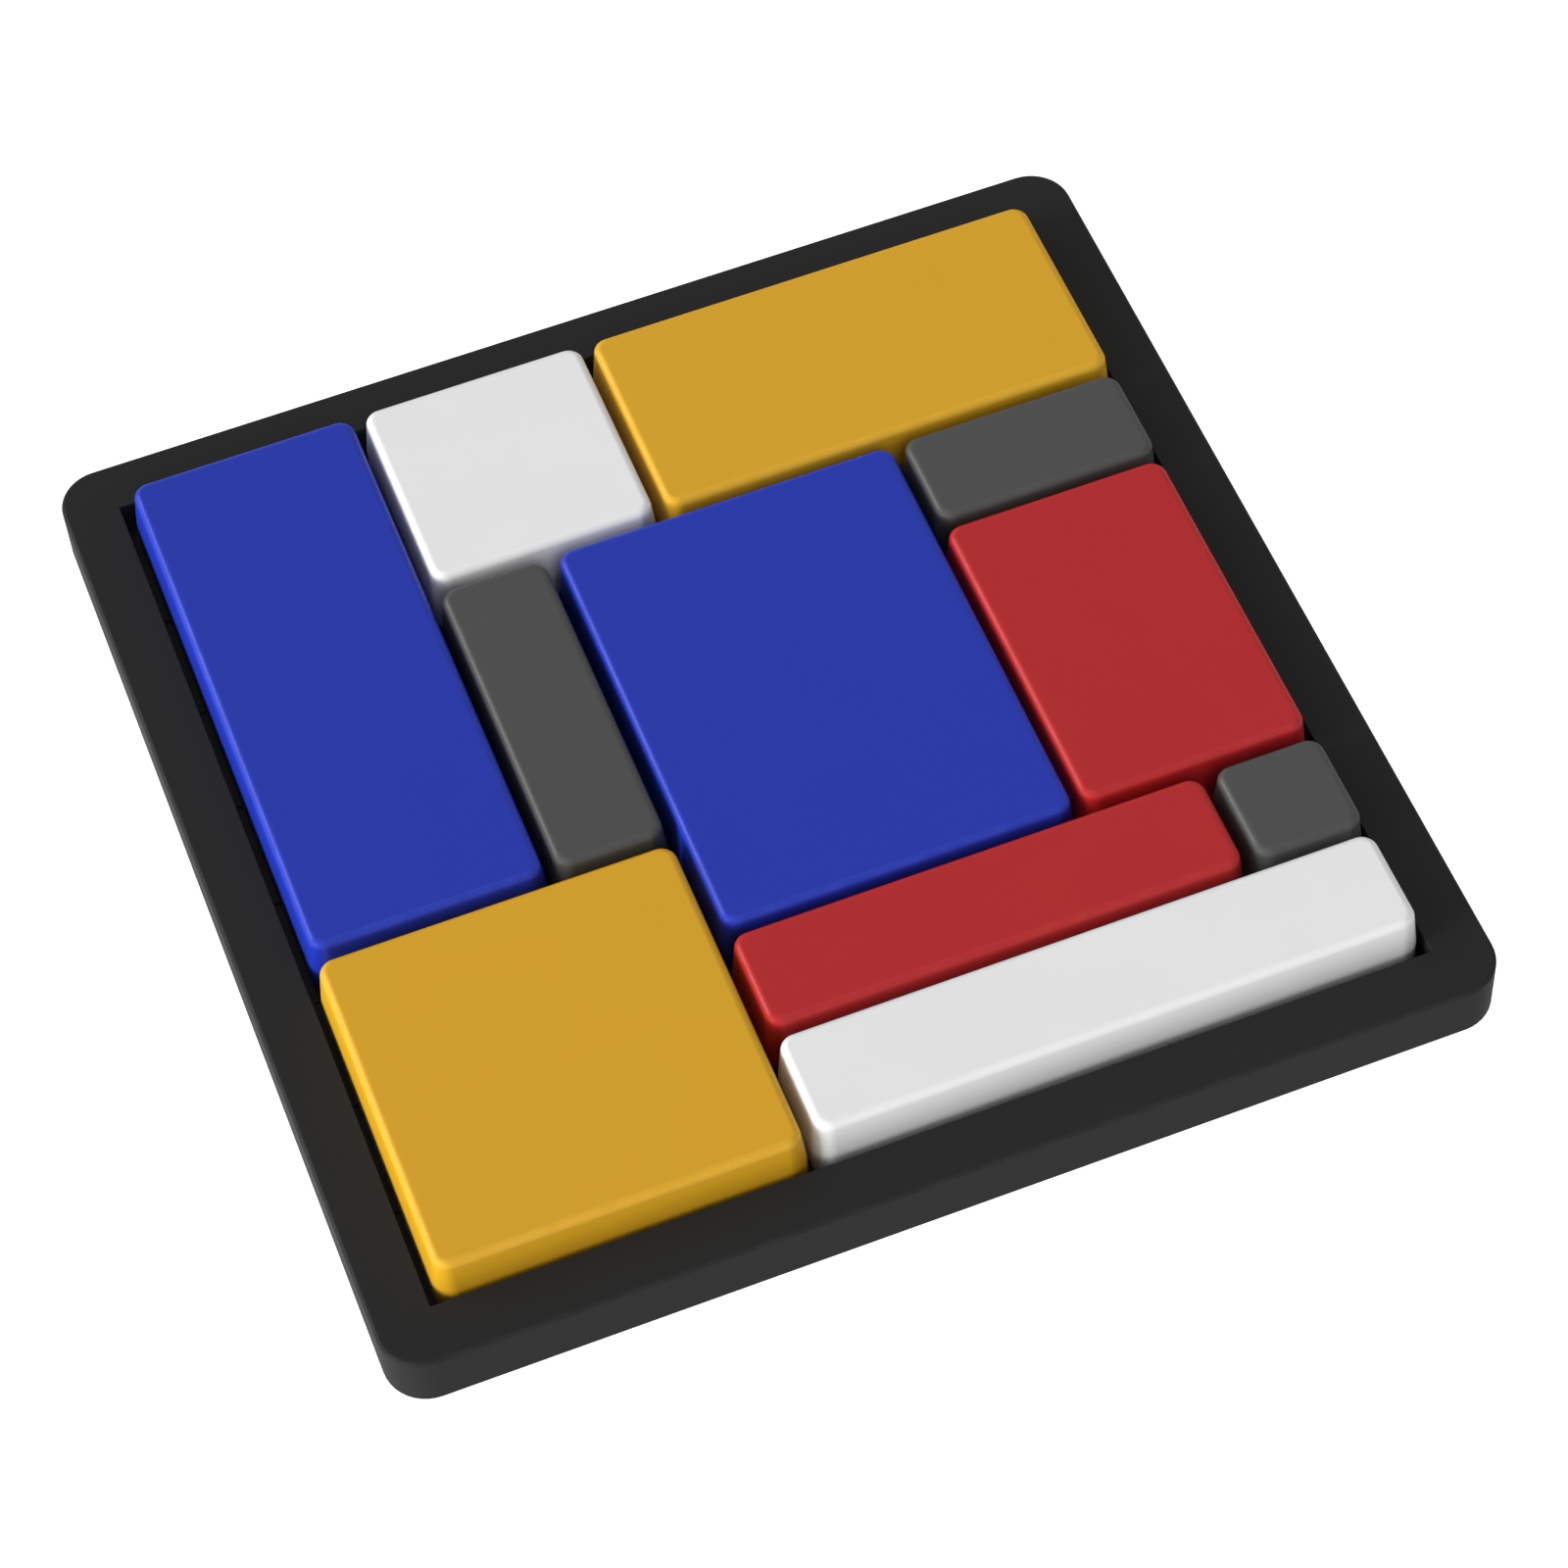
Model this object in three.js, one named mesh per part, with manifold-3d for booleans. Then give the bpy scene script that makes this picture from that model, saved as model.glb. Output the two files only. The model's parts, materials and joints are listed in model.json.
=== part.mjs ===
// Rectangle packing puzzle: a square tray with a sunken 8 x 8 field, filled by eleven coloured blocks.
// Units are millimetres, +Z is up. X runs along the front edge of the tray, Y towards its back edge.
// The origin is under the tray's centre, on the surface that the rubber feet stand on.
import * as THREE from 'three';
import { mergeVertices } from 'three/addons/utils/BufferGeometryUtils.js';
import Module from 'manifold-3d';

const wasm = await Module();
wasm.setup();

// ---------------------------------------------------------------- driving dimensions
const PITCH = 15; // one cell of the field
const CELLS = 8; // cells along each side of the field

const TRAY_SIDE = 134.6; // outside of the tray
const TRAY_CORNER = 5.25; // radius of the tray's upright corners
const TRAY_HEIGHT = 8; // from the tray's lower edge to the top of the rim
const TRAY_EDGE = 0.5; // rounding of the rim's outer top edge
const RECESS_SIDE = 120.9; // inside of the rim, with the play that the blocks have
const RECESS_DEPTH = 5.1; // from the top of the rim down to the floor
const WALL = 1.6; // outer wall and recess wall of the tray moulding
const RIM_TOP = 3.3; // plastic above the hollows under the rim
const RIM_POCKETS = 6; // hollows along each side of the rim
const RIM_RIB = 1.4; // between two hollows
const RIM_POCKET_REACH = 59.5; // from the middle of a side to the end of its last hollow

const FLOOR_THICKNESS = 2.4;
const FLOOR_CLEARANCE = 0.3; // around the floor panel, inside the outer wall
const GROOVE_WIDTH = 0.6; // lines of the 8 x 8 grid in the floor
const GROOVE_DEPTH = 0.3;

const FOOT_RADIUS = 5;
const FOOT_CHAMFER = 0.5;
const FOOT_DROP = 0.8; // how far the feet stand out below the tray's lower edge
const FOOT_POCKET_DEPTH = 0.6;
const FOOT_POCKET_CLEARANCE = 0.3;
const FOOT_OFFSET = 54; // feet and screws sit at plus and minus these distances from the centre
const SCREW_OFFSET = 62.4;

const SCREW_HEAD_RADIUS = 2.1;
const SCREW_HEAD_HEIGHT = 1;
const SCREW_HEAD_CHAMFER = 0.3;
const SCREW_SLOT_LENGTH = 2.6; // of each arm of the cross in the head
const SCREW_SLOT_WIDTH = 0.6;
const SCREW_SLOT_DEPTH = 0.55;
const SCREW_SHANK_RADIUS = 1;
const SCREW_LENGTH = 4.7; // under the head
const SCREW_TIP = 0.9; // pointed end of the shank
const COUNTERBORE_RADIUS = 2.5;
const COUNTERBORE_DEPTH = 1.2;
const THROUGH_HOLE_RADIUS = 1.3;
const PILOT_HOLE_RADIUS = 1.15;
const PILOT_HOLE_DEPTH = 3.9;

const BLOCK_HEIGHT = 10;
const BLOCK_GAP = 0.6; // between two blocks, at their straight lower sides
const BLOCK_SKIRT = 4.2; // height of the straight lower sides
const BLOCK_TAPER = Math.tan(THREE.MathUtils.degToRad(5.6)); // the sides lean in above the skirt
const BLOCK_CORNER = 2.5; // radius of the upright corners, at the skirt
const BLOCK_EDGE = 1; // rounding between the sides and the top
const BLOCK_WALL = 1.6;
const BLOCK_TOP = 2;
const CAVITY_CORNER = 0.9;
const FIELD_SHIFT = { x: 0.3, y: -0.1 }; // the blocks lie pushed to the right of the recess

const CAP_THICKNESS = 1.4;
const CAP_LEDGE = 0.8; // width of the shell's ledge that the base cap is pressed against
const CAP_CLEARANCE = 0.1;
const PEG_RADIUS = 1.5;
const PEG_HEIGHT = 4;
const SOCKET_RADIUS = 2.6;
const SOCKET_BORE = 1.65;
const SOCKET_LIFT = 0.6; // from the cap up to the socket's mouth
const RIB_THICKNESS = 1.2;
const RIB_DEPTH = 2.4;

// Straight pieces that stand for a round shape.
const TRAY_CORNER_STEPS = 6; // round a quarter turn
const BLOCK_CORNER_STEPS = 4;
const CAVITY_CORNER_STEPS = 2;
const EDGE_STEPS = 3; // over a rounded edge
const SMALL_SIDES = 12; // round a peg, a socket or a screw
const HEAD_SIDES = 16;
const FOOT_SIDES = 24;

// Each block: cells from the front left corner, its size in cells, and how far it has slipped within its play, in mm.
const BLOCKS = [
  { name: 'blue_2x5', colour: 'blue', column: 0, row: 3, wide: 2, deep: 5, slip: [0.15, 0] },
  { name: 'white_2x2', colour: 'white', column: 2, row: 6, wide: 2, deep: 2, slip: [0.1, -0.1] },
  { name: 'yellow_4x2', colour: 'yellow', column: 4, row: 6, wide: 4, deep: 2, slip: [0, -0.3] },
  { name: 'grey_1x3', colour: 'grey', column: 2, row: 3, wide: 1, deep: 3, slip: [0, -0.1] },
  { name: 'blue_3x4', colour: 'blue', column: 3, row: 2, wide: 3, deep: 4, slip: [0, -0.1] },
  { name: 'grey_2x1', colour: 'grey', column: 6, row: 5, wide: 2, deep: 1, slip: [-0.15, -0.2] },
  { name: 'red_2x3', colour: 'red', column: 6, row: 2, wide: 2, deep: 3, slip: [-0.35, 0.15] },
  { name: 'yellow_3x3', colour: 'yellow', column: 0, row: 0, wide: 3, deep: 3, slip: [0, 0] },
  { name: 'red_4x1', colour: 'red', column: 3, row: 1, wide: 4, deep: 1, slip: [0, 0.25] },
  { name: 'grey_1x1', colour: 'grey', column: 7, row: 1, wide: 1, deep: 1, slip: [0, 0.15] },
  { name: 'white_5x1', colour: 'white', column: 3, row: 0, wide: 5, deep: 1, slip: [0, 0.45] },
];

const COLOURS = {
  blue: 0x2f3ca6,
  white: 0xe1e1e1,
  yellow: 0xcf9d30,
  grey: 0x4e4e4e,
  red: 0xad3031,
};

// ---------------------------------------------------------------- worked-out levels
const RIM_Z = FOOT_DROP + TRAY_HEIGHT;
const FLOOR_Z = RIM_Z - RECESS_DEPTH;
const PANEL_Z = FLOOR_Z - FLOOR_THICKNESS;
const REBATE_SIDE = TRAY_SIDE - 2 * WALL;
const CUT = 1; // how far a cutting solid runs past the surface that it opens
const JOIN = 0.4; // how far a joined solid runs into its neighbour

// ---------------------------------------------------------------- shapes
// Corner points of a rectangle with rounded corners, anticlockwise, with the given steps round each corner.
function roundedRectangle(width, depth, radius, steps) {
  const points = [];
  for (let quarter = 0; quarter < 4; quarter += 1) {
    const sideX = quarter === 0 || quarter === 3 ? 1 : -1;
    const sideY = quarter < 2 ? 1 : -1;
    for (let step = 0; step <= steps; step += 1) {
      const angle = (quarter + step / steps) * (Math.PI / 2);
      const x = sideX * (width / 2 - radius) + radius * Math.cos(angle);
      const y = sideY * (depth / 2 - radius) + radius * Math.sin(angle);
      points.push(new THREE.Vector2(x, y));
    }
  }
  return points;
}

function plate(width, depth, radius, z0, z1, steps) {
  const shape = new THREE.Shape(roundedRectangle(width, depth, radius, steps));
  const options = { depth: z1 - z0, bevelEnabled: false };
  return new THREE.ExtrudeGeometry(shape, options).translate(0, 0, z0);
}

function box(x0, x1, y0, y1, z0, z1) {
  const geometry = new THREE.BoxGeometry(x1 - x0, y1 - y0, z1 - z0);
  return geometry.translate((x0 + x1) / 2, (y0 + y1) / 2, (z0 + z1) / 2);
}

function upright(radius, x, y, z0, z1, sides) {
  const geometry = new THREE.CylinderGeometry(radius, radius, z1 - z0, sides);
  return geometry.rotateX(Math.PI / 2).translate(x, y, (z0 + z1) / 2);
}

// A solid through a stack of rounded rectangles: each level has a height and an inset from the full size.
function stack(width, depth, radius, levels, steps) {
  const rings = levels.map(({ inset, z }) => {
    const points = roundedRectangle(width - 2 * inset, depth - 2 * inset, radius - inset, steps);
    return points.map((point) => new THREE.Vector3(point.x, point.y, z));
  });
  const count = rings[0].length;
  const index = [];
  for (let level = 0; level + 1 < rings.length; level += 1) {
    for (let i = 0; i < count; i += 1) {
      const a = level * count + i;
      const b = level * count + ((i + 1) % count);
      index.push(a, b, b + count, a, b + count, a + count);
    }
  }
  const top = (rings.length - 1) * count;
  for (let i = 1; i + 1 < count; i += 1) {
    index.push(0, i + 1, i);
    index.push(top, top + i, top + i + 1);
  }
  const geometry = new THREE.BufferGeometry().setFromPoints(rings.flat());
  geometry.setIndex(index);
  return geometry;
}

// Levels of a rounding of the given radius, from a side that leans in by taper to a flat top at height z.
function rounding(radius, z, edgeInset, taper, steps) {
  const lean = Math.atan(taper);
  const inward = edgeInset + radius * Math.tan((Math.PI / 2 - lean) / 2);
  return Array.from({ length: steps + 1 }, (_, step) => {
    const tilt = (Math.PI / 2 - lean) * (1 - step / steps);
    return { inset: inward - radius * Math.sin(tilt), z: z - radius + radius * Math.cos(tilt) };
  });
}

// ---------------------------------------------------------------- cutting and joining
function solid(geometry) {
  const bare = geometry.clone();
  bare.deleteAttribute('normal');
  bare.deleteAttribute('uv');
  const merged = mergeVertices(bare, 1e-4);
  const vertProperties = new Float32Array(merged.attributes.position.array);
  const triVerts = new Uint32Array(merged.index.array);
  return new wasm.Manifold(new wasm.Mesh({ numProp: 3, vertProperties, triVerts }));
}

function cutAll(body, tools) {
  return tools.reduce((left, tool) => left.subtract(solid(tool)), body);
}

function joinAll(body, additions) {
  return additions.reduce((sum, addition) => sum.add(solid(addition)), body);
}

function meshFrom(name, body, material) {
  const { vertProperties, triVerts } = body.getMesh();
  const geometry = new THREE.BufferGeometry();
  geometry.setAttribute('position', new THREE.BufferAttribute(new Float32Array(vertProperties), 3));
  geometry.setIndex(new THREE.BufferAttribute(new Uint32Array(triVerts), 1));
  geometry.computeVertexNormals();
  const mesh = new THREE.Mesh(geometry, material);
  mesh.name = name;
  return mesh;
}

// ---------------------------------------------------------------- materials
function plastic(colour, roughness) {
  return new THREE.MeshStandardMaterial({ color: colour, roughness, metalness: 0 });
}

const trayPlastic = plastic(0x2a2a2a, 0.5);
const footRubber = plastic(0x161616, 0.9);
const screwSteel = new THREE.MeshStandardMaterial({ color: 0xb4b6ba, roughness: 0.35, metalness: 1 });

// ---------------------------------------------------------------- the tray
const CORNERS = [
  { label: 'front_left', x: -1, y: -1 },
  { label: 'front_right', x: 1, y: -1 },
  { label: 'back_left', x: -1, y: 1 },
  { label: 'back_right', x: 1, y: 1 },
];

// Shallow pockets under the rim lighten it between cross ribs, and the corners stay solid for the screws.
function rimPockets() {
  const inner = RECESS_SIDE / 2 + WALL;
  const outer = REBATE_SIDE / 2;
  const step = (2 * RIM_POCKET_REACH + RIM_RIB) / RIM_POCKETS;
  const ceiling = RIM_Z - RIM_TOP;
  const pockets = [];
  for (let i = 0; i < RIM_POCKETS; i += 1) {
    const from = -RIM_POCKET_REACH + i * step;
    const to = from + step - RIM_RIB;
    for (const [near, far] of [[inner, outer], [-outer, -inner]]) {
      pockets.push(box(near, far, from, to, FLOOR_Z - CUT, ceiling));
      pockets.push(box(from, to, near, far, FLOOR_Z - CUT, ceiling));
    }
  }
  return pockets;
}

function trayFrame() {
  const levels = [{ inset: 0, z: FOOT_DROP }, ...rounding(TRAY_EDGE, RIM_Z, 0, 0, EDGE_STEPS)];
  const body = solid(stack(TRAY_SIDE, TRAY_SIDE, TRAY_CORNER, levels, TRAY_CORNER_STEPS));
  const recess = RECESS_SIDE / 2;
  const rebateCorner = TRAY_CORNER - WALL;
  const pilots = CORNERS.map(({ x, y }) => {
    const [screwX, screwY] = [x * SCREW_OFFSET, y * SCREW_OFFSET];
    const top = FLOOR_Z + PILOT_HOLE_DEPTH;
    return upright(PILOT_HOLE_RADIUS, screwX, screwY, FLOOR_Z - CUT, top, SMALL_SIDES);
  });
  return cutAll(body, [
    box(-recess, recess, -recess, recess, FOOT_DROP - CUT, RIM_Z + CUT),
    plate(REBATE_SIDE, REBATE_SIDE, rebateCorner, FOOT_DROP - CUT, FLOOR_Z, TRAY_CORNER_STEPS),
    ...rimPockets(),
    ...pilots,
  ]);
}

function floorPanel() {
  const side = REBATE_SIDE - 2 * FLOOR_CLEARANCE;
  const corner = TRAY_CORNER - WALL - FLOOR_CLEARANCE;
  const body = solid(plate(side, side, corner, PANEL_Z, FLOOR_Z, TRAY_CORNER_STEPS));
  const half = (CELLS * PITCH) / 2;
  const grooves = [];
  for (let line = 1; line < CELLS; line += 1) {
    const at = -half + line * PITCH;
    const [from, to] = [at - GROOVE_WIDTH / 2, at + GROOVE_WIDTH / 2];
    const bottom = FLOOR_Z - GROOVE_DEPTH;
    grooves.push(box(from, to, -half, half, bottom, FLOOR_Z + CUT));
    grooves.push(box(-half, half, from, to, bottom, FLOOR_Z + CUT));
  }
  const below = PANEL_Z - CUT;
  const counterboreTop = PANEL_Z + COUNTERBORE_DEPTH;
  const pocketRadius = FOOT_RADIUS + FOOT_POCKET_CLEARANCE;
  const pocketTop = PANEL_Z + FOOT_POCKET_DEPTH;
  const holes = CORNERS.flatMap(({ x, y }) => {
    const [screwX, screwY] = [x * SCREW_OFFSET, y * SCREW_OFFSET];
    return [
      upright(COUNTERBORE_RADIUS, screwX, screwY, below, counterboreTop, HEAD_SIDES),
      upright(THROUGH_HOLE_RADIUS, screwX, screwY, below, FLOOR_Z + CUT, SMALL_SIDES),
      upright(pocketRadius, x * FOOT_OFFSET, y * FOOT_OFFSET, below, pocketTop, FOOT_SIDES),
    ];
  });
  return cutAll(body, [...grooves, ...holes]);
}

// A turned piece from a half profile that starts and ends on the axis, standing on the XY plane.
function turned(profile, sides) {
  const points = profile.map(([radius, z]) => new THREE.Vector2(radius, z));
  return new THREE.LatheGeometry(points, sides).rotateX(Math.PI / 2);
}

function rubberFoot() {
  const top = PANEL_Z + FOOT_POCKET_DEPTH;
  return solid(turned([
    [0, 0],
    [FOOT_RADIUS - FOOT_CHAMFER, 0],
    [FOOT_RADIUS, FOOT_CHAMFER],
    [FOOT_RADIUS, top],
    [0, top],
  ], FOOT_SIDES));
}

// A screw that stands on its head, with a cross recess in the head's underside.
function panelScrew() {
  const end = SCREW_HEAD_HEIGHT + SCREW_LENGTH;
  const body = solid(turned([
    [0, 0],
    [SCREW_HEAD_RADIUS - SCREW_HEAD_CHAMFER, 0],
    [SCREW_HEAD_RADIUS, SCREW_HEAD_CHAMFER],
    [SCREW_HEAD_RADIUS, SCREW_HEAD_HEIGHT],
    [SCREW_SHANK_RADIUS, SCREW_HEAD_HEIGHT],
    [SCREW_SHANK_RADIUS, end - SCREW_TIP],
    [0, end],
  ], SMALL_SIDES));
  const [long, short] = [SCREW_SLOT_LENGTH / 2, SCREW_SLOT_WIDTH / 2];
  return cutAll(body, [
    box(-long, long, -short, short, -CUT, SCREW_SLOT_DEPTH),
    box(-short, short, -long, long, -CUT, SCREW_SLOT_DEPTH),
  ]);
}

// ---------------------------------------------------------------- the blocks
// Centres of the corner cells of a block, measured from the block's own centre: one peg and socket each.
function socketPlaces({ wide, deep }) {
  const ends = (cells) => [...new Set([-(cells - 1) / 2, (cells - 1) / 2])];
  return ends(wide).flatMap((x) => ends(deep).map((y) => ({ x: x * PITCH, y: y * PITCH })));
}

// Shallow ribs under the top, along the lines between cells.
function topRibs({ wide, deep }, ceiling) {
  const ribs = [];
  const halfWidth = (wide * PITCH) / 2 - BLOCK_GAP / 2 - BLOCK_WALL + JOIN;
  const halfDepth = (deep * PITCH) / 2 - BLOCK_GAP / 2 - BLOCK_WALL + JOIN;
  const bottom = ceiling - RIB_DEPTH;
  const top = ceiling + JOIN;
  const half = RIB_THICKNESS / 2;
  for (let line = 1; line < wide; line += 1) {
    const x = (line - wide / 2) * PITCH;
    ribs.push(box(x - half, x + half, -halfDepth, halfDepth, bottom, top));
  }
  for (let line = 1; line < deep; line += 1) {
    const y = (line - deep / 2) * PITCH;
    ribs.push(box(-halfWidth, halfWidth, y - half, y + half, bottom, top));
  }
  return ribs;
}

function blockShell(block) {
  const width = block.wide * PITCH - BLOCK_GAP;
  const depth = block.deep * PITCH - BLOCK_GAP;
  const edgeInset = (BLOCK_HEIGHT - BLOCK_SKIRT) * BLOCK_TAPER;
  const levels = [
    { inset: 0, z: 0 },
    { inset: 0, z: BLOCK_SKIRT },
    ...rounding(BLOCK_EDGE, BLOCK_HEIGHT, edgeInset, BLOCK_TAPER, EDGE_STEPS),
  ];
  const ceiling = BLOCK_HEIGHT - BLOCK_TOP;
  const hollowInset = 2 * BLOCK_WALL;
  const rebateInset = 2 * (BLOCK_WALL - CAP_LEDGE);
  const rebateCorner = CAVITY_CORNER + CAP_LEDGE;
  const places = socketPlaces(block);
  const mouth = CAP_THICKNESS + SOCKET_LIFT;
  const steps = CAVITY_CORNER_STEPS;
  const outside = solid(stack(width, depth, BLOCK_CORNER, levels, BLOCK_CORNER_STEPS));
  const hollow = cutAll(outside, [
    plate(width - hollowInset, depth - hollowInset, CAVITY_CORNER, -CUT, ceiling, steps),
    plate(width - rebateInset, depth - rebateInset, rebateCorner, -CUT, CAP_THICKNESS, steps),
  ]);
  const posts = places.map(({ x, y }) => {
    return upright(SOCKET_RADIUS, x, y, mouth, ceiling + JOIN, SMALL_SIDES);
  });
  const bores = places.map(({ x, y }) => {
    return upright(SOCKET_BORE, x, y, mouth - CUT, ceiling, SMALL_SIDES);
  });
  return cutAll(joinAll(hollow, [...topRibs(block, ceiling), ...posts]), bores);
}

function blockBaseCap(block) {
  const smaller = BLOCK_GAP + 2 * (BLOCK_WALL - CAP_LEDGE + CAP_CLEARANCE);
  const corner = CAVITY_CORNER + CAP_LEDGE - CAP_CLEARANCE;
  const width = block.wide * PITCH - smaller;
  const depth = block.deep * PITCH - smaller;
  const body = solid(plate(width, depth, corner, 0, CAP_THICKNESS, CAVITY_CORNER_STEPS));
  const pegs = socketPlaces(block).map(({ x, y }) => {
    const top = CAP_THICKNESS + PEG_HEIGHT;
    return upright(PEG_RADIUS, x, y, CAP_THICKNESS - JOIN, top, SMALL_SIDES);
  });
  return joinAll(body, pegs);
}

// ---------------------------------------------------------------- assembly
const puzzle = new THREE.Group();

puzzle.add(meshFrom('tray_frame', trayFrame(), trayPlastic));
puzzle.add(meshFrom('floor_panel', floorPanel(), trayPlastic));

for (const { label, x, y } of CORNERS) {
  const foot = meshFrom(`foot_${label}`, rubberFoot(), footRubber);
  foot.position.set(x * FOOT_OFFSET, y * FOOT_OFFSET, 0);
  puzzle.add(foot);

  const screw = meshFrom(`panel_screw_${label}`, panelScrew(), screwSteel);
  const headZ = PANEL_Z + COUNTERBORE_DEPTH - SCREW_HEAD_HEIGHT;
  screw.position.set(x * SCREW_OFFSET, y * SCREW_OFFSET, headZ);
  puzzle.add(screw);
}

for (const block of BLOCKS) {
  const material = plastic(COLOURS[block.colour], 0.38);
  const seat = new THREE.Group();
  seat.add(meshFrom(`${block.name}_shell`, blockShell(block), material));
  seat.add(meshFrom(`${block.name}_base_cap`, blockBaseCap(block), material));
  const x = (block.column + block.wide / 2 - CELLS / 2) * PITCH;
  const y = (block.row + block.deep / 2 - CELLS / 2) * PITCH;
  const [slipX, slipY] = block.slip;
  seat.position.set(x + FIELD_SHIFT.x + slipX, y + FIELD_SHIFT.y + slipY, FLOOR_Z);
  puzzle.add(seat);
}

export default puzzle;
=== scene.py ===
import json
import math

import bmesh
import bpy
from mathutils import Matrix, Vector


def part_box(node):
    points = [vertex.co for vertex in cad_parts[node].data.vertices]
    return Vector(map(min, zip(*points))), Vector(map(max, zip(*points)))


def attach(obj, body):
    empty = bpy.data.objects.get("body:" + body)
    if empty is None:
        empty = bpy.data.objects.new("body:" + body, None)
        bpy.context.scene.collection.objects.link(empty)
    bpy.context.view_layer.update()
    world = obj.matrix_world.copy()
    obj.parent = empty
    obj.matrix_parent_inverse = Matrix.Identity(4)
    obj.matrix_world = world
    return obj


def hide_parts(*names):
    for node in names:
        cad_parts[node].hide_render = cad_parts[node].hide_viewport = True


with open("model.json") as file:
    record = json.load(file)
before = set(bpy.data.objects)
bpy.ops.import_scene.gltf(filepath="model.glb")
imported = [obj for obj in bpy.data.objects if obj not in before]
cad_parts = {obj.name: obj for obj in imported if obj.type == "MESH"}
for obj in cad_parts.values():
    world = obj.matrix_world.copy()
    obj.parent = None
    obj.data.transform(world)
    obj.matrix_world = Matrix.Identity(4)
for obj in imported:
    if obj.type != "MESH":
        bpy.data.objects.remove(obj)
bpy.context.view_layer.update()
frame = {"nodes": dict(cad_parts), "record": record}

MM = 0.001
QUARTER = math.pi / 2

# ---------------------------------------- sizes that the boxes of the frame don't give, in mm
TRAY_CORNER = 5.25
TRAY_EDGE = 0.5
LOWER_EDGE = 0.25
RECESS_SIDE = 120.9
RECESS_CORNER = 0.12
RECESS_EDGE = 0.12
WALL = 1.6
PANEL_CLEARANCE = 0.3  # round the floor panel, inside the outer wall
PANEL_EDGE = 0.2

PITCH = 15
CELLS = 8
GROOVE_WIDTH = 0.6
GROOVE_DEPTH = 0.3
FOOT_POCKET = (5.3, 0.6)  # radius and depth
COUNTERBORE = (2.5, 1.2)  # the same
CUT_START = -1  # from the panel's underside, so that a cut starts clear of it
FOOT_EDGE = 0.5
FOOT_MIDDLE = 0.2  # radius of the small flat face that closes the middle of a turned shape

HEAD_DOME = (  # share of the head's radius, height and wear, from the middle of the head outwards
    (0.55, 0.03, 0),
    (0.8, 0.12, 0.3),
    (0.93, 0.28, 0.7),
    (1, 0.5, 0.5),
    (1, 0.95, 0.2),
)
HEAD_HEIGHT = 1
HEAD_CHAMFER = 0.05
HEAD_MIDDLE = 0.1
SHANK_RADIUS = 1
TIP_LENGTH = 0.9
TIP_RADIUS = 0.02
CROSS_SLOT = (2.6, 0.6, 1.1)  # length, width and twice the depth

BLOCK_SKIRT = 4.2
BLOCK_TAPER = math.radians(5.6)
BLOCK_CORNER = 2.5
BLOCK_EDGE = 1
BLOCK_BOTTOM_EDGE = 0.2
BLOCK_WALL = 1.6
BLOCK_TOP = 2
CAVITY_CORNER = 0.9
CAP_THICKNESS = 1.4
CAP_LEDGE = 0.8
CAP_CLEARANCE = 0.1
CAP_EDGE = 0.12
PEG_RADIUS = 1.5
PEG_CHAMFER = 0.3
PEG_ROOT = 0.2  # how far a peg's foot is sunk into its cap

SUPPORT = 0.05  # from the end of a rounding to the extra loop that keeps the flat beside it flat
CORNER_STEPS = 10
EDGE_STEPS = 8
SMALL_EDGE_STEPS = 4
FINE_EDGE_STEPS = 3
ROUND_SIDES = 64
PEG_SIDES = 24

# ---------------------------------------- how exposed to wear a softened edge is, from 0 to 1; on plastic the same share also paints a paler highlight onto the edge
RECESS_WEAR_AND_HIGHLIGHT = 0.6
BOTTOM_WEAR_AND_HIGHLIGHT = 0.5
CAP_WEAR_AND_HIGHLIGHT = 0.4

# ---------------------------------------- looks
SATIN = 0.34  # roughness of the blocks
TRAY_SATIN = 0.38
GLOSS = 0.5  # specular level of the blocks
TRAY_GLOSS = 0.14
CLOUDING = 0.98  # what the darker clouds in the plastic keep of its colour
# how much of the paler edge tone shows: partly wear, partly a painted highlight
WEAR_AND_HIGHLIGHT_SHOWN = 0.2
WEAR_POLISH = 0.08
SMUDGE = 0.03
PLASTIC_IOR = 1.46
DUST = 0.25
DUST_TONE = 0.12
STAIN = 0.72  # what stained plating keeps of its colour
RUBBER_ROUGHNESS = (0.78, 0.92)  # clean and dusty
STEEL_ROUGHNESS = (0.26, 0.44)  # clean and stained

# ---------------------------------------- noises in the looks, in lumps per metre, and their bumps
CLOUDS = 70
WEAR_PATCHES = 420
SMUDGES = 35
SAG = 110
GRAIN = 5200
DUST_SPECKS = 900
RUBBER_GRAIN = 4200
STAINS = 1500
PLATING_GRAIN = 6500
SAG_BUMP = (0.03, 0.0004)  # strength, and height in metres
GRAIN_BUMP = (0.12, 0.00003)
RUBBER_BUMP = (0.3, 0.00004)
PLATING_BUMP = (0.15, 0.00002)

# ---------------------------------------- camera, floor and light
CAMERA_ANGLES = (-17.426, 55.049, -4.326)  # degrees: round from the front, up, and rolled
CAMERA_DISTANCE = 565.26
CAMERA_TARGET = (0.48, -10.2, 8.8)
FOCAL_LENGTH = 110.27
FLOOR_RADIUS = 6  # metres
FLOOR_GAP = 0.00005  # metres from the feet to the floor, so that the two faces stay apart
FLOOR_GREY = 0.5
FLOOR_GLOW = 1.08
WORLD_GLOW = 0.37
LAMP_SPREAD = 28  # degrees that a lamp covers, seen from the tray
LAMPS = (  # name, degrees round from +X, degrees up, strength, and whether it shines in the gloss
    ("key", 187, 13, 3.4, False),
    ("overhead", 90, 85, 0.44, False),
    ("front", 270, 30, 0.36, False),
    ("back", 142, 32, 0.56, True),
    ("left", 198, 30, 0.22, True),
)


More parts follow.
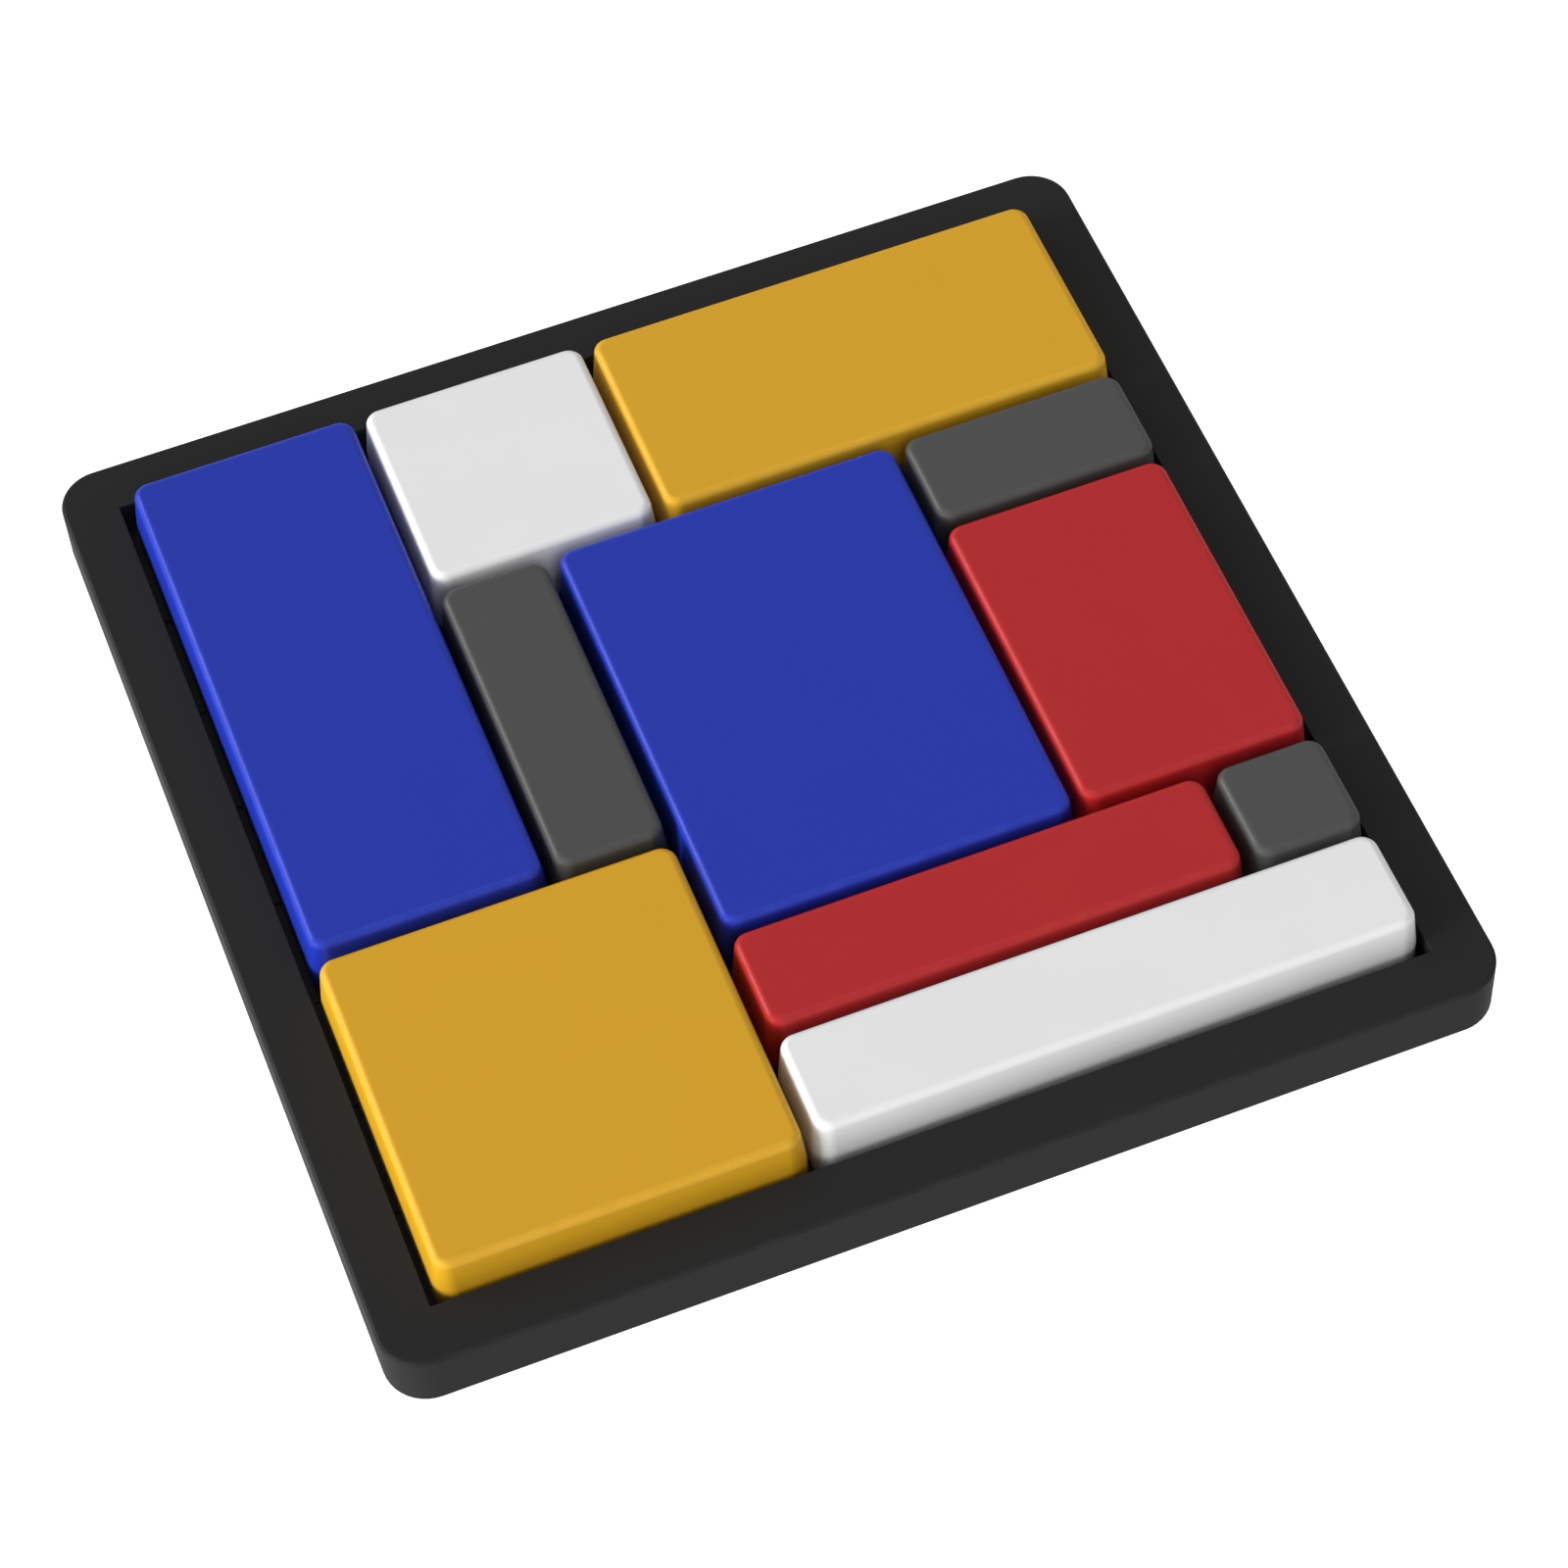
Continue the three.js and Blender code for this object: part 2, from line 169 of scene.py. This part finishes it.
# ---------------------------------------- mesh code
def outline(half_x, half_y, radius):
    """Points round a rounded rectangle, anticlockwise, with a point close to each end of every corner."""
    points = []
    for quarter in range(4):
        side_x = 1 if quarter in (0, 3) else -1
        side_y = 1 if quarter < 2 else -1
        angles = [(quarter + step / CORNER_STEPS) * QUARTER for step in range(CORNER_STEPS + 1)]
        arc = []
        for angle in angles:
            x = side_x * (half_x - radius) + radius * math.cos(angle)
            y = side_y * (half_y - radius) + radius * math.sin(angle)
            arc.append((x, y))
        tangents = [(-math.sin(angle), math.cos(angle)) for angle in (angles[0], angles[-1])]
        (x, y), (tx, ty) = arc[0], tangents[0]
        before = (x - SUPPORT * tx, y - SUPPORT * ty)
        (x, y), (tx, ty) = arc[-1], tangents[1]
        after = (x + SUPPORT * tx, y + SUPPORT * ty)
        points += [before, *arc, after]
    return points


def loft(bm, rings, centre, closed=False):
    """Skins a stack of rings (half_x, half_y, radius, z, edge), where edge is the exposure to wear, which
    on moulded plastic also sets a painted highlight.
    """
    wear = bm.verts.layers.float.get("edge") or bm.verts.layers.float.new("edge")
    loops = []
    for half_x, half_y, radius, z, edge in rings:
        loop = []
        for x, y in outline(half_x, half_y, radius):
            vert = bm.verts.new(((centre[0] + x) * MM, (centre[1] + y) * MM, (centre[2] + z) * MM))
            vert[wear] = edge
            loop.append(vert)
        loops.append(loop)
    pairs = list(zip(loops, loops[1:]))
    if closed:
        pairs.append((loops[-1], loops[0]))
    for low, high in pairs:
        for i in range(len(low)):
            j = (i + 1) % len(low)
            bm.faces.new((low[i], low[j], high[j], high[i]))
    if not closed:
        bm.faces.new(list(reversed(loops[0])))
        bm.faces.new(loops[-1])


def lathe(bm, profile, centre, sides=ROUND_SIDES):
    """Turns a profile of (radius, z, edge) about +Z, closed with a flat face at both ends."""
    wear = bm.verts.layers.float.get("edge") or bm.verts.layers.float.new("edge")
    loops = []
    for radius, z, edge in profile:
        loop = []
        for i in range(sides):
            angle = 2 * math.pi * i / sides
            x, y = radius * math.cos(angle), radius * math.sin(angle)
            vert = bm.verts.new(((centre[0] + x) * MM, (centre[1] + y) * MM, (centre[2] + z) * MM))
            vert[wear] = edge
            loop.append(vert)
        loops.append(loop)
    for low, high in zip(loops, loops[1:]):
        for i in range(sides):
            j = (i + 1) % sides
            bm.faces.new((low[i], low[j], high[j], high[i]))
    bm.faces.new(list(reversed(loops[0])))
    bm.faces.new(loops[-1])


def to_object(name, bm, sharp_degrees=40):
    """An object from a bmesh, smooth but for edges that turn by more than the given angle."""
    bmesh.ops.recalc_face_normals(bm, faces=bm.faces)
    mesh = bpy.data.meshes.new(name)
    bm.to_mesh(mesh)
    bm.free()
    mesh.shade_smooth()
    mesh.set_sharp_from_angle(angle=math.radians(sharp_degrees))
    piece = bpy.data.objects.new(name, mesh)
    bpy.context.scene.collection.objects.link(piece)
    return piece


def cut(piece, *tools, sharp_degrees=30):
    """Takes closed bmesh shapes out of a piece for good. The shapes within one tool don't overlap."""
    for tool in tools:
        cutter = to_object(piece.name + "_cutter", tool)
        modifier = piece.modifiers.new("cut", "BOOLEAN")
        modifier.object = cutter
        modifier.operation = "DIFFERENCE"
        modifier.solver = "EXACT"
        graph = bpy.context.evaluated_depsgraph_get()
        mesh = bpy.data.meshes.new_from_object(piece.evaluated_get(graph))
        piece.modifiers.clear()
        piece.data = mesh
        bpy.data.objects.remove(cutter)
    piece.data.shade_smooth()
    piece.data.set_sharp_from_angle(angle=math.radians(sharp_degrees))


def add_box(bm, centre, size):
    scale = Matrix.Diagonal((*(Vector(size) * MM), 1))
    bmesh.ops.create_cube(bm, size=1, matrix=Matrix.Translation(Vector(centre) * MM) @ scale)


def quarter_round(radius, steps=EDGE_STEPS):
    """Points (inward, up, share of the turn) on a quarter turn from an upright side to a level face."""
    arc = []
    for step in range(steps + 1):
        angle = QUARTER * step / steps
        arc.append((radius * (1 - math.cos(angle)), radius * math.sin(angle), step / steps))
    return arc


def exposure(share):
    """How exposed a point of a rounded edge is: nothing at its two ends, most in the middle."""
    return math.sin(math.pi * share)


def centre_and_half(node):
    low, high = (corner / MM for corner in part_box(node))
    centre = (low + high) / 2
    return (centre.x, centre.y, low.z), (high - low) / 2, high.z - low.z


# ---------------------------------------- the pieces
def tray_frame():
    """One closed skin: up the outside, over the rim, down the recess and out to the panel's rebate."""
    centre, half, height = centre_and_half("tray_frame")
    outer = half.x
    _, panel_high = (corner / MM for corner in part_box("floor_panel"))
    floor = panel_high.z - centre[2]
    recess = RECESS_SIDE / 2
    rebate = outer - WALL
    rebate_corner = TRAY_CORNER - WALL
    rings = []
    for inward, up, share in quarter_round(LOWER_EDGE, FINE_EDGE_STEPS):
        side = rebate + inward
        rings.append((side, side, rebate_corner + inward, LOWER_EDGE - up, exposure(share)))
    for inward, up, share in reversed(quarter_round(LOWER_EDGE, FINE_EDGE_STEPS)):
        side = outer - inward
        rings.append((side, side, TRAY_CORNER - inward, LOWER_EDGE - up, exposure(share)))
    rings.append((outer, outer, TRAY_CORNER, LOWER_EDGE + SUPPORT, 0))
    rings.append((outer, outer, TRAY_CORNER, height - TRAY_EDGE - SUPPORT, 0))
    for inward, up, share in quarter_round(TRAY_EDGE):
        side = outer - inward
        rings.append((side, side, TRAY_CORNER - inward, height - TRAY_EDGE + up, exposure(share)))
    inset = TRAY_EDGE + SUPPORT
    rings.append((outer - inset, outer - inset, TRAY_CORNER - inset, height, 0))
    side = recess + RECESS_EDGE + SUPPORT
    rings.append((side, side, RECESS_CORNER + RECESS_EDGE + SUPPORT, height, 0))
    for inward, up, share in reversed(quarter_round(RECESS_EDGE, SMALL_EDGE_STEPS)):
        side = recess + inward
        wear = RECESS_WEAR_AND_HIGHLIGHT * exposure(share)
        rings.append((side, side, RECESS_CORNER + inward, height - RECESS_EDGE + up, wear))
    rings.append((recess, recess, RECESS_CORNER, height - RECESS_EDGE - SUPPORT, 0))
    rings.append((recess, recess, RECESS_CORNER, floor, 0))
    rings.append((rebate, rebate, rebate_corner, floor, 0))
    bm = bmesh.new()
    loft(bm, rings, centre, closed=True)
    return to_object("tray_rim", bm)


def floor_panel():
    centre, half, thickness = centre_and_half("floor_panel")
    corner = TRAY_CORNER - WALL - PANEL_CLEARANCE
    rings = [
        (half.x - PANEL_EDGE, half.y - PANEL_EDGE, corner - PANEL_EDGE, 0, BOTTOM_WEAR_AND_HIGHLIGHT),
        (half.x, half.y, corner, PANEL_EDGE, BOTTOM_WEAR_AND_HIGHLIGHT),
        (half.x, half.y, corner, thickness, 0),
    ]
    bm = bmesh.new()
    loft(bm, rings, centre)
    panel = to_object("tray_floor", bm)
    lines_across, lines_along, holes = bmesh.new(), bmesh.new(), bmesh.new()
    field = CELLS * PITCH
    top = centre[2] + thickness
    for line in range(1, CELLS):
        at = line * PITCH - field / 2
        add_box(lines_across, (0, at, top), (field, GROOVE_WIDTH, 2 * GROOVE_DEPTH))
        add_box(lines_along, (at, 0, top), (GROOVE_WIDTH, field, 2 * GROOVE_DEPTH))
    for corner_name in ("front_left", "front_right", "back_left", "back_right"):
        for node, (radius, depth) in (("foot_", FOOT_POCKET), ("panel_screw_", COUNTERBORE)):
            (x, y, _), _, _ = centre_and_half(node + corner_name)
            lathe(holes, [(radius, CUT_START, 0), (radius, depth, 0)], (x, y, centre[2]))
    cut(panel, lines_across, lines_along, holes)
    return panel


def foot(corner_name):
    centre, half, height = centre_and_half("foot_" + corner_name)
    profile = [(FOOT_MIDDLE, 0, 0), (half.x - FOOT_EDGE - SUPPORT, 0, 0)]
    for inward, up, share in reversed(quarter_round(FOOT_EDGE)):
        profile.append((half.x - inward, FOOT_EDGE - up, exposure(share)))
    profile += [(half.x, height, 0), (FOOT_MIDDLE, height, 0)]
    bm = bmesh.new()
    lathe(bm, profile, centre)
    return to_object("rubber_foot_" + corner_name, bm)


def panel_screw(corner_name):
    """A domed head with a cross recess, pointing down, and a plain shank."""
    centre, half, length = centre_and_half("panel_screw_" + corner_name)
    head = half.x
    profile = [(HEAD_MIDDLE, 0, 0)]
    profile += [(head * share, z, wear) for share, z, wear in HEAD_DOME]
    profile += [
        (head - HEAD_CHAMFER, HEAD_HEIGHT, 0),
        (SHANK_RADIUS, HEAD_HEIGHT, 0),
        (SHANK_RADIUS, length - TIP_LENGTH, 0),
        (TIP_RADIUS, length, 0),
    ]
    bm = bmesh.new()
    lathe(bm, profile, centre)
    screw = to_object("steel_screw_" + corner_name, bm)
    slot_length, slot_width, slot_depth = CROSS_SLOT
    across, along = bmesh.new(), bmesh.new()
    add_box(across, centre, (slot_length, slot_width, slot_depth))
    add_box(along, centre, (slot_width, slot_length, slot_depth))
    cut(screw, across, along)
    return screw


def block_shell(name):
    """One closed skin: the inside with its ledge for the base cap, and the outer side up over the top."""
    centre, half, height = centre_and_half(name + "_shell")

    def ring(inset, z, edge=0.0):
        return (half.x - inset, half.y - inset, BLOCK_CORNER - inset, z, edge)

    def inner(inset, radius, z):
        return (half.x - inset, half.y - inset, radius, z, 0)

    rebate_corner = CAVITY_CORNER + CAP_LEDGE
    rebate_inset = BLOCK_WALL - CAP_LEDGE
    rings = [
        inner(BLOCK_WALL, CAVITY_CORNER, height - BLOCK_TOP),
        inner(BLOCK_WALL, CAVITY_CORNER, CAP_THICKNESS),
        inner(rebate_inset, rebate_corner, CAP_THICKNESS),
        inner(rebate_inset, rebate_corner, 0),
        ring(BLOCK_BOTTOM_EDGE + SUPPORT, 0),
    ]
    for inward, up, share in reversed(quarter_round(BLOCK_BOTTOM_EDGE, SMALL_EDGE_STEPS)):
        rings.append(ring(inward, BLOCK_BOTTOM_EDGE - up, BOTTOM_WEAR_AND_HIGHLIGHT * exposure(share)))
    rings.append(ring(0, BLOCK_BOTTOM_EDGE + SUPPORT))
    rings.append(ring(0, BLOCK_SKIRT - SUPPORT))
    lean = math.tan(BLOCK_TAPER)
    rings.append(ring(SUPPORT * lean, BLOCK_SKIRT + SUPPORT))
    steepest = QUARTER - BLOCK_TAPER
    top_inset = (height - BLOCK_SKIRT) * lean + BLOCK_EDGE * math.tan(steepest / 2)
    round_start = height - BLOCK_EDGE + BLOCK_EDGE * math.cos(steepest)
    rings.append(ring((round_start - SUPPORT - BLOCK_SKIRT) * lean, round_start - SUPPORT))
    for step in range(EDGE_STEPS + 1):
        share = step / EDGE_STEPS
        tilt = steepest * (1 - share)
        inset = top_inset - BLOCK_EDGE * math.sin(tilt)
        z = height - BLOCK_EDGE + BLOCK_EDGE * math.cos(tilt)
        rings.append(ring(inset, z, exposure(share)))
    rings.append(ring(top_inset + SUPPORT, height))
    bm = bmesh.new()
    loft(bm, rings, centre)
    return to_object(name + "_top", bm)


def peg_places(half):
    """Where the pegs stand along one side of a cap: over the middle of its first and its last cell."""
    cells = round(2 * half / PITCH)
    reach = (cells - 1) / 2 * PITCH
    return sorted({-reach, reach})


def block_base(name):
    """The plate that closes a block from below, with its pegs."""
    centre, half, height = centre_and_half(name + "_base_cap")
    radius = CAVITY_CORNER + CAP_LEDGE - CAP_CLEARANCE
    inset = CAP_EDGE + SUPPORT
    rings = [(half.x - inset, half.y - inset, radius - inset, 0, 0)]
    for inward, up, share in reversed(quarter_round(CAP_EDGE, FINE_EDGE_STEPS)):
        wear = CAP_WEAR_AND_HIGHLIGHT * exposure(share)
        rings.append((half.x - inward, half.y - inward, radius - inward, CAP_EDGE - up, wear))
    rings.append((half.x, half.y, radius, CAP_THICKNESS, 0))
    bm = bmesh.new()
    loft(bm, rings, centre)
    peg = [
        (PEG_RADIUS, CAP_THICKNESS - PEG_ROOT, 0),
        (PEG_RADIUS, height - PEG_CHAMFER, 0),
        (PEG_RADIUS - PEG_CHAMFER, height, 0),
    ]
    for x in peg_places(half.x):
        for y in peg_places(half.y):
            lathe(bm, peg, (centre[0] + x, centre[1] + y, centre[2]), PEG_SIDES)
    return to_object(name + "_bottom", bm)


# ---------------------------------------- materials
def linear(value):
    """Linear light from an sRGB level of 0 to 255."""
    value /= 255
    return value / 12.92 if value <= 0.04045 else ((value + 0.055) / 1.055) ** 2.4


def tone(red, green, blue):
    return tuple(linear(channel) for channel in (red, green, blue))


class Graph:
    """Short forms for building a node tree."""

    def __init__(self, name):
        self.material = bpy.data.materials.new(name)
        self.material.use_nodes = True
        self.tree = self.material.node_tree
        self.shader = self.tree.nodes["Principled BSDF"]
        self.coordinates = self.tree.nodes.new("ShaderNodeTexCoord").outputs["Object"]

    def link(self, output, target):
        self.tree.links.new(output, target)

    def noise(self, scale, detail=2.0, roughness=0.5):
        node = self.tree.nodes.new("ShaderNodeTexNoise")
        node.inputs["Scale"].default_value = scale
        node.inputs["Detail"].default_value = detail
        node.inputs["Roughness"].default_value = roughness
        self.link(self.coordinates, node.inputs["Vector"])
        return node.outputs["Fac"]

    def ranged(self, output, low, high, to_low, to_high):
        node = self.tree.nodes.new("ShaderNodeMapRange")
        for name, value in (("From Min", low), ("From Max", high), ("To Min", to_low), ("To Max", to_high)):
            node.inputs[name].default_value = value
        self.link(output, node.inputs["Value"])
        return node.outputs["Result"]

    def math(self, operation, first, second):
        node = self.tree.nodes.new("ShaderNodeMath")
        node.operation = operation
        for socket, value in zip(node.inputs, (first, second)):
            if isinstance(value, (int, float)):
                socket.default_value = value
            else:
                self.link(value, socket)
        return node.outputs[0]

    def mix(self, factor, first, second):
        node = self.tree.nodes.new("ShaderNodeMix")
        node.data_type = "RGBA"
        self.link(factor, node.inputs["Factor"])
        for socket, value in ((node.inputs["A"], first), (node.inputs["B"], second)):
            if isinstance(value, tuple):
                socket.default_value = (*value, 1)
            else:
                self.link(value, socket)
        return node.outputs["Result"]

    def attribute(self, name):
        node = self.tree.nodes.new("ShaderNodeAttribute")
        node.attribute_name = name
        return node.outputs["Fac"]

    def bump(self, height, strength, distance, normal=None):
        node = self.tree.nodes.new("ShaderNodeBump")
        node.inputs["Strength"].default_value = strength
        node.inputs["Distance"].default_value = distance
        self.link(height, node.inputs["Height"])
        if normal is not None:
            self.link(normal, node.inputs["Normal"])
        return node.outputs["Normal"]


def moulded_plastic(name, colour, worn_and_highlight_tone, roughness=SATIN, gloss=GLOSS):
    """Satin moulded plastic with a fine grain, slight clouding of its colour, and polished edges in a paler
    tone that is partly wear and partly a painted highlight.
    """
    graph = Graph(name)
    cloud = graph.ranged(graph.noise(CLOUDS, detail=3), 0.3, 0.7, 0, 1)
    darker = tuple(channel * CLOUDING for channel in colour)
    clouded = graph.mix(cloud, colour, darker)
    patches = graph.ranged(graph.noise(WEAR_PATCHES, detail=3, roughness=0.6), 0.35, 0.65, 0.25, 1)
    # the edge mask, broken into patches, polishes the edges and paints their paler tone, which is partly
    # wear and partly a painted highlight
    wear = graph.math("MULTIPLY", graph.attribute("edge"), patches)
    wear_and_highlight_share = graph.math("MULTIPLY", wear, WEAR_AND_HIGHLIGHT_SHOWN)
    graph.link(graph.mix(wear_and_highlight_share, clouded, worn_and_highlight_tone), graph.shader.inputs["Base Color"])
    smears = graph.noise(SMUDGES, detail=4, roughness=0.6)
    smudges = graph.ranged(smears, 0.3, 0.7, roughness - SMUDGE, roughness + SMUDGE)
    polished = graph.math("SUBTRACT", smudges, graph.math("MULTIPLY", wear, WEAR_POLISH))
    graph.link(polished, graph.shader.inputs["Roughness"])
    fine = graph.noise(GRAIN, detail=2, roughness=0.55)
    sag = graph.noise(SAG, detail=1)
    normal = graph.bump(sag, *SAG_BUMP)
    graph.link(graph.bump(fine, *GRAIN_BUMP, normal), graph.shader.inputs["Normal"])
    graph.shader.inputs["IOR"].default_value = PLASTIC_IOR
    graph.shader.inputs["Specular IOR Level"].default_value = gloss
    return graph.material


def rubber(name, colour):
    """Matt rubber with a little dust."""
    graph = Graph(name)
    dust = graph.ranged(graph.noise(DUST_SPECKS, detail=4, roughness=0.6), 0.45, 0.75, 0, 1)
    dusty = tuple((1 - DUST) * channel + DUST * DUST_TONE for channel in colour)
    graph.link(graph.mix(dust, colour, dusty), graph.shader.inputs["Base Color"])
    graph.link(graph.ranged(dust, 0, 1, *RUBBER_ROUGHNESS), graph.shader.inputs["Roughness"])
    fine = graph.noise(RUBBER_GRAIN, detail=3)
    graph.link(graph.bump(fine, *RUBBER_BUMP), graph.shader.inputs["Normal"])
    return graph.material


def plated_steel(name, colour):
    """Plain plated steel with dull, rougher stains."""
    graph = Graph(name)
    graph.shader.inputs["Metallic"].default_value = 1
    stain = graph.ranged(graph.noise(STAINS, detail=3, roughness=0.6), 0.35, 0.7, 0, 1)
    dull = tuple(channel * STAIN for channel in colour)
    graph.link(graph.mix(stain, colour, dull), graph.shader.inputs["Base Color"])
    graph.link(graph.ranged(stain, 0, 1, *STEEL_ROUGHNESS), graph.shader.inputs["Roughness"])
    fine = graph.noise(PLATING_GRAIN, detail=2)
    graph.link(graph.bump(fine, *PLATING_BUMP), graph.shader.inputs["Normal"])
    return graph.material


# the second tone of each plastic is its paler edge tone, partly wear and partly a painted highlight
MATERIALS = {
    "tray_plastic": moulded_plastic(
        "satin_black", tone(40, 40, 40), tone(64, 64, 64), TRAY_SATIN, TRAY_GLOSS
    ),
    "blue_plastic": moulded_plastic("satin_blue", tone(30, 51, 171), tone(70, 90, 225)),
    "white_plastic": moulded_plastic("satin_white", tone(234, 234, 234), tone(244, 244, 244)),
    "yellow_plastic": moulded_plastic("satin_yellow", tone(215, 162, 34), tone(250, 200, 80)),
    "grey_plastic": moulded_plastic("satin_grey", tone(75, 75, 75), tone(96, 96, 97)),
    "red_plastic": moulded_plastic("satin_red", tone(178, 35, 37), tone(215, 70, 74)),
    "foot_rubber": rubber("black_rubber", tone(24, 24, 24)),
    "screw_steel": plated_steel("plated_steel", tone(190, 192, 196)),
}


# ---------------------------------------- camera, floor and light
def make_camera():
    """The camera stands to the left of the front and looks down on the tray, slightly rolled."""
    azimuth, elevation, roll = (math.radians(degrees) for degrees in CAMERA_ANGLES)
    back = Vector((
        math.sin(azimuth) * math.cos(elevation),
        -math.cos(azimuth) * math.cos(elevation),
        math.sin(elevation),
    ))
    right = (-back).cross(Vector((0, 0, 1))).normalized()
    up = right.cross(-back)
    rolled_right = right * math.cos(roll) + up * math.sin(roll)
    rolled_up = up * math.cos(roll) - right * math.sin(roll)
    turn = Matrix((rolled_right, rolled_up, back)).transposed().to_4x4()
    camera = bpy.data.objects.new("camera", bpy.data.cameras.new("camera"))
    bpy.context.scene.collection.objects.link(camera)
    position = (Vector(CAMERA_TARGET) + back * CAMERA_DISTANCE) * MM
    camera.matrix_world = Matrix.Translation(position) @ turn
    camera.data.sensor_width = 36
    camera.data.lens = FOCAL_LENGTH
    camera.data.clip_start = 0.05
    camera.data.clip_end = 50
    bpy.context.scene.camera = camera


def make_floor():
    """A floor that glows enough to be burnt out to white, and that the black plastic doesn't reflect."""
    bm = bmesh.new()
    bmesh.ops.create_circle(bm, cap_ends=True, radius=FLOOR_RADIUS, segments=96)
    bmesh.ops.translate(bm, verts=bm.verts, vec=(0, 0, -FLOOR_GAP))
    floor = to_object("floor", bm)
    material = bpy.data.materials.new("floor")
    material.use_nodes = True
    shader = material.node_tree.nodes["Principled BSDF"]
    shader.inputs["Base Color"].default_value = (FLOOR_GREY, FLOOR_GREY, FLOOR_GREY, 1)
    shader.inputs["Roughness"].default_value = 0.9
    shader.inputs["Specular IOR Level"].default_value = 0
    shader.inputs["Emission Color"].default_value = (1, 1, 1, 1)
    shader.inputs["Emission Strength"].default_value = FLOOR_GLOW
    floor.data.materials.append(material)
    floor.visible_glossy = False


def soft_lamp(name, azimuth, elevation, strength, shines):
    """A wide, distant lamp, even over the whole tray. Only a lamp that shines shows up in the gloss."""
    data = bpy.data.lights.new(name, "SUN")
    data.energy = strength
    data.angle = math.radians(LAMP_SPREAD)
    lamp = bpy.data.objects.new(name, data)
    bpy.context.scene.collection.objects.link(lamp)
    turn, tilt = math.radians(azimuth), math.radians(elevation)
    towards = Vector((math.cos(tilt) * math.cos(turn), math.cos(tilt) * math.sin(turn), math.sin(tilt)))
    lamp.location = towards
    lamp.visible_glossy = shines
    lamp.rotation_euler = towards.to_track_quat("Z", "Y").to_euler()


def make_light():
    for lamp in LAMPS:
        soft_lamp(*lamp)
    world = bpy.data.worlds.new("studio")
    bpy.context.scene.world = world
    world.use_nodes = True
    background = world.node_tree.nodes["Background"]
    background.inputs["Color"].default_value = (1, 1, 1, 1)
    background.inputs["Strength"].default_value = WORLD_GLOW
    bpy.context.scene.view_settings.view_transform = "Standard"


# ---------------------------------------- assembly
def place(piece, node, body, slot):
    piece.data.materials.clear()
    piece.data.materials.append(MATERIALS[slot])
    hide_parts(node)
    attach(piece, body)


BODY_OF = {node: body for body, nodes in frame["record"]["behaviour"]["bodies"].items() for node in nodes}
SLOT_OF = {part["node"]: part["material_slot"] for part in frame["record"]["subparts"]}

for node in sorted(frame["nodes"]):
    if node == "tray_frame":
        made = tray_frame()
    elif node == "floor_panel":
        made = floor_panel()
    elif node.startswith("foot_"):
        made = foot(node.removeprefix("foot_"))
    elif node.startswith("panel_screw_"):
        made = panel_screw(node.removeprefix("panel_screw_"))
    elif node.endswith("_shell"):
        made = block_shell(node.removesuffix("_shell"))
    else:
        made = block_base(node.removesuffix("_base_cap"))
    place(made, node, BODY_OF[node], SLOT_OF[node])

make_camera()
make_floor()
make_light()
